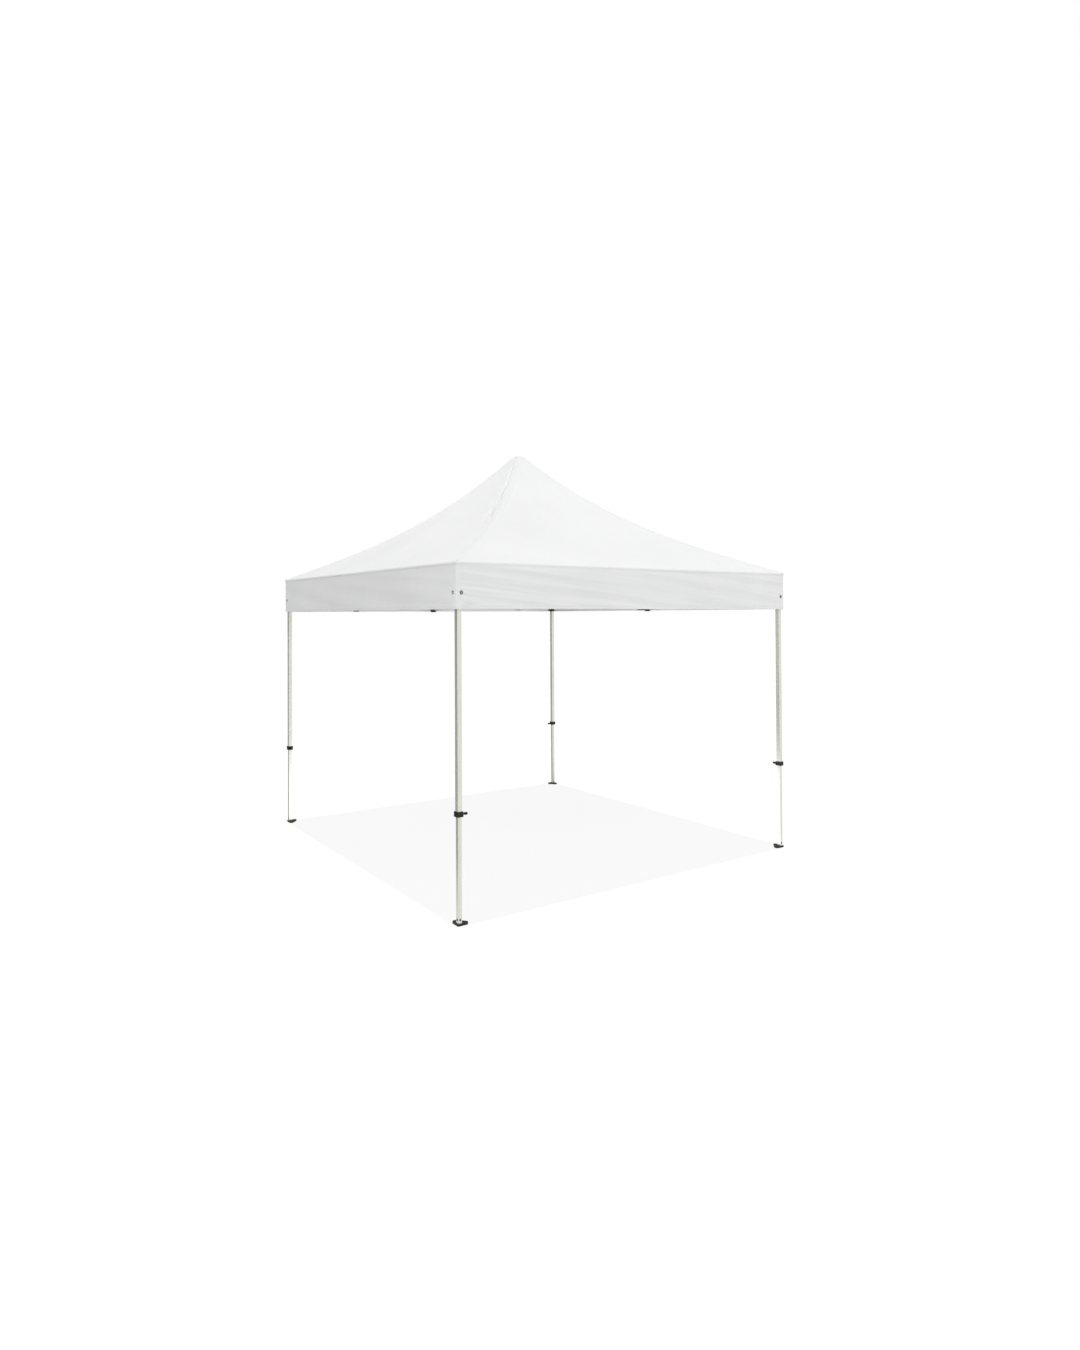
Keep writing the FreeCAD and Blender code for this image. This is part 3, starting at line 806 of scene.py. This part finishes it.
def build_valance(side):
    xs = valance_columns()
    points, places, inside = [], [], []
    rows = valance_rows()
    for row_down in rows:
        for column_x in xs:
            x, down, is_inside = round_grommet_hole(column_x, row_down)
            points.append(valance_point(side, x, down))
            places.append(x)
            inside.append(is_inside)
    faces = [f for f in grid_faces(len(rows), len(xs)) if not any(inside[v] for v in f)]
    used = sorted({v for f in faces for v in f})
    number = {old: new for new, old in enumerate(used)}
    faces = [tuple(number[v] for v in f) for f in faces]
    points = [points[v] for v in used]
    places = [places[v] for v in used]
    piece = make_piece("valance_" + SIDES[side], points, faces, VALANCE_FABRIC)
    axis = fold_valance(piece, side, places)
    thicken(piece, FABRIC_THICK, 0.0)
    ride_valance(piece, side)
    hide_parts("canopy")
    return piece


def build_hem(side):
    """The turned-up hem: doubled cloth round the lower edge."""
    height = 0.022
    profile = [
        (VALANCE_DEPTH - height, 0.0008),
        (VALANCE_DEPTH - height + 0.001, 0.0014),
        (VALANCE_DEPTH - height + 0.004, 0.0015),
        (VALANCE_DEPTH - 0.004, 0.0015),
        (VALANCE_DEPTH - 0.001, 0.0014),
        (VALANCE_DEPTH + 0.0006, 0.0009),
        (VALANCE_DEPTH + 0.0012, 0.0),
        (VALANCE_DEPTH + 0.0006, -0.0009),
        (VALANCE_DEPTH - 0.001, -0.0014),
        (VALANCE_DEPTH - 0.004, -0.0015),
        (VALANCE_DEPTH - height + 0.004, -0.0015),
        (VALANCE_DEPTH - height + 0.001, -0.0014),
        (VALANCE_DEPTH - height, -0.0008),
    ]
    xs = valance_columns()
    points, places = [], []
    for down, out in profile:
        for x in xs:
            points.append(valance_point(side, x, down, out))
            places.append(x)
    piece = make_piece(
        "hem_" + SIDES[side], points, grid_faces(len(profile), len(xs)), VALANCE_FABRIC
    )
    axis = fold_valance(piece, side, places)
    thicken(piece, 0.0004, 0.0)
    ride_valance(piece, side)
    return piece


def build_stitches(name, side, down, out):
    """A row of lockstitches along the valance."""
    pitch, length, half_width, height = 0.006, 0.0042, 0.0005, 0.0005
    end_gap = 0.014
    points, faces, places = [], [], []
    x = -HALF + end_gap
    while x < HALF - end_gap:
        first = len(points)
        for end in (x, x + length):
            for rise, lift in (
                (-half_width, 0.0),
                (half_width, 0.0),
                (half_width * 0.5, height),
                (-half_width * 0.5, height),
            ):
                points.append(valance_point(side, end, down + rise, out + lift))
                places.append(end)
        for a, b in ((0, 1), (1, 2), (2, 3), (3, 0)):
            faces.append((first + a, first + b, first + 4 + b, first + 4 + a))
        faces.append((first + 3, first + 2, first + 1, first))
        faces.append((first + 4, first + 5, first + 6, first + 7))
        x += pitch
    piece = make_piece(name, points, faces, THREAD, smooth=False)
    axis = fold_valance(piece, side, places)
    ride_valance(piece, side)
    return piece


def build_corner_seam(side):
    """The upright seam where two valances meet."""
    rows = valance_rows(0.019, 40)
    offsets = (-0.006, -0.0045, 0.0, 0.0045, 0.006)
    lifts = (0.0004, 0.0009, 0.0011, 0.0009, 0.0004)
    points = []
    for down in rows:
        for offset, lift in zip(offsets, lifts):
            if offset <= 0:
                points.append(valance_point((side - 1) % 4, HALF + offset, down, lift))
            else:
                points.append(valance_point(side, -HALF + offset, down, lift))
    piece = make_piece(
        "corner_seam_" + LEGS[side],
        points,
        grid_faces(len(rows), len(offsets)),
        VALANCE_FABRIC,
    )
    thicken(piece, 0.0008)
    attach(piece, LEGS[side] + "_upper_leg")
    return piece


def build_grommet(side, end):
    """A rolled metal ring round the hole near one end of a valance."""
    around, section = 36, 10
    x = end * (HALF - GROMMET_IN)
    down = EAVE_Z - GROMMET_Z
    centre = valance_point(side, x, down, 0.0)
    outward = turned(side, (0, -1, 0))
    along = turned(side, (1, 0, 0))
    points = []
    for i in range(around):
        angle = 2 * math.pi * i / around
        spoke = along * math.cos(angle) + Vector((0, 0, 1)) * math.sin(angle)
        for j in range(section):
            bend = 2 * math.pi * j / section
            points.append(
                centre
                + spoke * (GROMMET_RING + GROMMET_WIRE * math.cos(bend))
                + outward * 0.6 * GROMMET_WIRE * math.sin(bend)
            )
    faces = []
    for i in range(around):
        for j in range(section):
            a = i * section + j
            b = i * section + (j + 1) % section
            c = ((i + 1) % around) * section + (j + 1) % section
            d = ((i + 1) % around) * section + j
            faces.append((a, b, c, d))
    leg = LEGS[side] if end < 0 else LEGS[(side + 1) % 4]
    ring = make_piece(
        f"grommet_{SIDES[side]}_at_{leg}", points, faces, GROMMET_METAL
    )
    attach(ring, leg + "_upper_leg")


def build_leg_strap(leg):
    """A hook and loop strap round the leg under its corner bracket."""
    middle_x = -LEG_CENTRE if leg in (0, 3) else LEG_CENTRE
    middle_y = -LEG_CENTRE if leg < 2 else LEG_CENTRE
    reach, round_off, width = 0.0165, 0.004, 0.025
    outline = []
    for corner in range(4):
        for step in range(5):
            angle = math.pi / 2 * (corner + step / 4)
            cx = (reach - round_off) * (1 if corner in (0, 3) else -1)
            cy = (reach - round_off) * (1 if corner in (0, 1) else -1)
            outline.append(
                (
                    middle_x + cx + round_off * math.cos(angle),
                    middle_y + cy + round_off * math.sin(angle),
                )
            )
    points = []
    for row in range(5):
        bow = 0.0006 * math.sin(math.pi * row / 4)
        for x, y in outline:
            points.append(
                (
                    x + bow * math.copysign(1, x - middle_x),
                    y + bow * math.copysign(1, y - middle_y),
                    STRAP_Z + width * row / 4,
                )
            )
    strap = make_piece(
        "leg_strap_" + LEGS[leg],
        points,
        grid_faces(5, len(outline), closed=True),
        STRAP_WEBBING,
    )
    thicken(strap, 0.0014, 1.0)
    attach(strap, LEGS[leg] + "_upper_leg")


roof, roof_area = build_roof()
ridge_seams = build_ridge_seams()
for side in range(4):
    valance = build_valance(side)
    hem = build_hem(side)
    rows_of_stitches = [
        build_stitches("hem_stitching_" + SIDES[side], side, VALANCE_DEPTH - 0.0185, 0.0022),
        build_stitches("eave_stitching_" + SIDES[side], side, 0.0135, 0.0028),
    ]
    build_corner_seam(side)
    for end in (-1, 1):
        build_grommet(side, end)
    build_leg_strap(side)


# ---------------------------------------------------------------------------
# Floor, light and camera
# ---------------------------------------------------------------------------


# Radiance of the floor to the eye, and of the floor and sky as light on the canopy
FLOOR_SEEN = 0.93
FLOOR_SQUARE_DIP = -0.072
FLOOR_LIGHT = 0.12
FLOOR_LIGHT_FRONT = 0.52
FLOOR_LIGHT_INSIDE = 1.4
SKY_LEVEL = 0.98
KEY_PLACE = (1.0, -6.8, 8.5)
KEY_SIZE = 3.0
KEY_POWER = 115
LEFT_EXTRA = 1.12
DARK_DIP = -0.93

CAMERA_PLACE = (-3.968, -5.669, 1.836)
CAMERA_TURN = 0.5774
CAMERA_TILT = 0.0127
CAMERA_ROLL = -0.0042
CAMERA_LENS = 27.374
CAMERA_SHIFT = (0.0450, -0.0655)


def build_floor():
    """A plain pale floor with a faint square under the canopy.

    To the eye it is nearly as bright as the white behind it. The light that it throws on the canopy is
    stronger from the front and from under the canopy.
    """
    reach = 60.0
    mesh = bpy.data.meshes.new("floor")
    mesh.from_pydata(
        [(-reach, -reach, 0), (reach, -reach, 0), (reach, reach, 0), (-reach, reach, 0)],
        [],
        [(0, 1, 2, 3)],
    )
    material, tree, shader = new_material("pale_floor", (0.10, 0.10, 0.10), 0.9)
    shader.inputs["Specular IOR Level"].default_value = 0.0
    coordinates = add_node(tree, "ShaderNodeTexCoord")
    parts = add_node(tree, "ShaderNodeSeparateXYZ")
    tree.links.new(coordinates.outputs["Object"], parts.inputs["Vector"])
    x, y = parts.outputs["X"], parts.outputs["Y"]
    far = maths(tree, "MAXIMUM", maths(tree, "ABSOLUTE", x, 0.0), maths(tree, "ABSOLUTE", y, 0.0))
    inside = maths(tree, "LESS_THAN", far, HALF)
    seen = maths(tree, "ADD", maths(tree, "MULTIPLY", inside, FLOOR_SQUARE_DIP), FLOOR_SEEN)
    front = add_node(tree, "ShaderNodeMapRange", interpolation_type="SMOOTHSTEP")
    front.inputs["From Min"].default_value = -1.2
    front.inputs["From Max"].default_value = 1.0
    front.inputs["To Min"].default_value = FLOOR_LIGHT
    front.inputs["To Max"].default_value = FLOOR_LIGHT + FLOOR_LIGHT_FRONT
    towards_front = maths(
        tree, "SUBTRACT", maths(tree, "MULTIPLY", x, 0.5), maths(tree, "MULTIPLY", y, 0.86)
    )
    tree.links.new(towards_front, front.inputs["Value"])
    path = add_node(tree, "ShaderNodeLightPath")
    glow = add_node(tree, "ShaderNodeMix", data_type="FLOAT")
    tree.links.new(path.outputs["Is Camera Ray"], glow.inputs["Factor"])
    light = maths(
        tree, "MAXIMUM", front.outputs["Result"], maths(tree, "MULTIPLY", inside, FLOOR_LIGHT_INSIDE)
    )
    tree.links.new(light, glow.inputs[2])
    tree.links.new(seen, glow.inputs[3])
    shader.inputs["Emission Color"].default_value = (1, 1, 1, 1)
    tree.links.new(glow.outputs[0], shader.inputs["Emission Strength"])
    mesh.materials.append(material)
    floor = bpy.data.objects.new("floor", mesh)
    bpy.context.scene.collection.objects.link(floor)
    floor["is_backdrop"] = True


def build_world():
    """White all round to the eye. Its light is stronger from the left and weaker from behind."""
    world = bpy.data.worlds.new("studio")
    bpy.context.scene.world = world
    world.use_nodes = True
    tree = world.node_tree
    tree.nodes.clear()
    coordinates = add_node(tree, "ShaderNodeTexCoord")

    def patch(direction, low, high, amount):
        """Light added towards one direction, fading out round it."""
        towards = add_node(tree, "ShaderNodeVectorMath", operation="DOT_PRODUCT")
        towards.inputs[1].default_value = Vector(direction).normalized()
        tree.links.new(coordinates.outputs["Generated"], towards.inputs[0])
        added = add_node(tree, "ShaderNodeMapRange", interpolation_type="SMOOTHSTEP")
        added.inputs["From Min"].default_value = low
        added.inputs["From Max"].default_value = high
        added.inputs["To Min"].default_value = 0.0
        added.inputs["To Max"].default_value = amount
        tree.links.new(towards.outputs["Value"], added.inputs["Value"])
        return added.outputs["Result"]

    left = patch((-1.0, -0.15, 0.15), 0.35, 0.95, LEFT_EXTRA)
    dark = patch((-0.5, 0.86, 0.0), 0.76, 0.96, DARK_DIP)
    light = maths(tree, "ADD", left, maths(tree, "ADD", dark, SKY_LEVEL))
    path = add_node(tree, "ShaderNodeLightPath")
    seen = add_node(tree, "ShaderNodeBackground")
    seen.inputs["Color"].default_value = (1, 1, 1, 1)
    lit = add_node(tree, "ShaderNodeBackground")
    tree.links.new(light, lit.inputs["Strength"])
    mix = add_node(tree, "ShaderNodeMixShader")
    output = add_node(tree, "ShaderNodeOutputWorld")
    tree.links.new(path.outputs["Is Camera Ray"], mix.inputs["Fac"])
    tree.links.new(lit.outputs["Background"], mix.inputs[1])
    tree.links.new(seen.outputs["Background"], mix.inputs[2])
    tree.links.new(mix.outputs["Shader"], output.inputs["Surface"])


def build_light(name, place, size, power):
    data = bpy.data.lights.new(name, "AREA")
    data.shape = "SQUARE"
    data.size = size
    data.energy = power
    lamp = bpy.data.objects.new(name, data)
    lamp.location = place
    towards = Vector((0, 0, 1.6)) - Vector(place)
    lamp.rotation_euler = towards.to_track_quat("-Z", "Y").to_euler()
    bpy.context.scene.collection.objects.link(lamp)


def build_camera():
    data = bpy.data.cameras.new("camera")
    data.sensor_fit = "HORIZONTAL"
    data.sensor_width = 36.0
    data.lens = CAMERA_LENS
    data.shift_x, data.shift_y = CAMERA_SHIFT
    data.clip_end = 500
    camera = bpy.data.objects.new("camera", data)
    camera.location = CAMERA_PLACE
    camera.rotation_euler = (
        Matrix.Rotation(-CAMERA_TURN, 3, "Z")
        @ Matrix.Rotation(math.pi / 2 + CAMERA_TILT, 3, "X")
        @ Matrix.Rotation(CAMERA_ROLL, 3, "Z")
    ).to_euler()
    bpy.context.scene.collection.objects.link(camera)
    bpy.context.scene.camera = camera


build_floor()
build_world()
build_light("key", KEY_PLACE, KEY_SIZE, KEY_POWER)
build_camera()
bpy.context.scene.view_settings.view_transform = "Standard"

boxes = {"cad": CAD_BOX, "visual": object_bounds()}
{key: [list(corner) for corner in box] for key, box in boxes.items()}
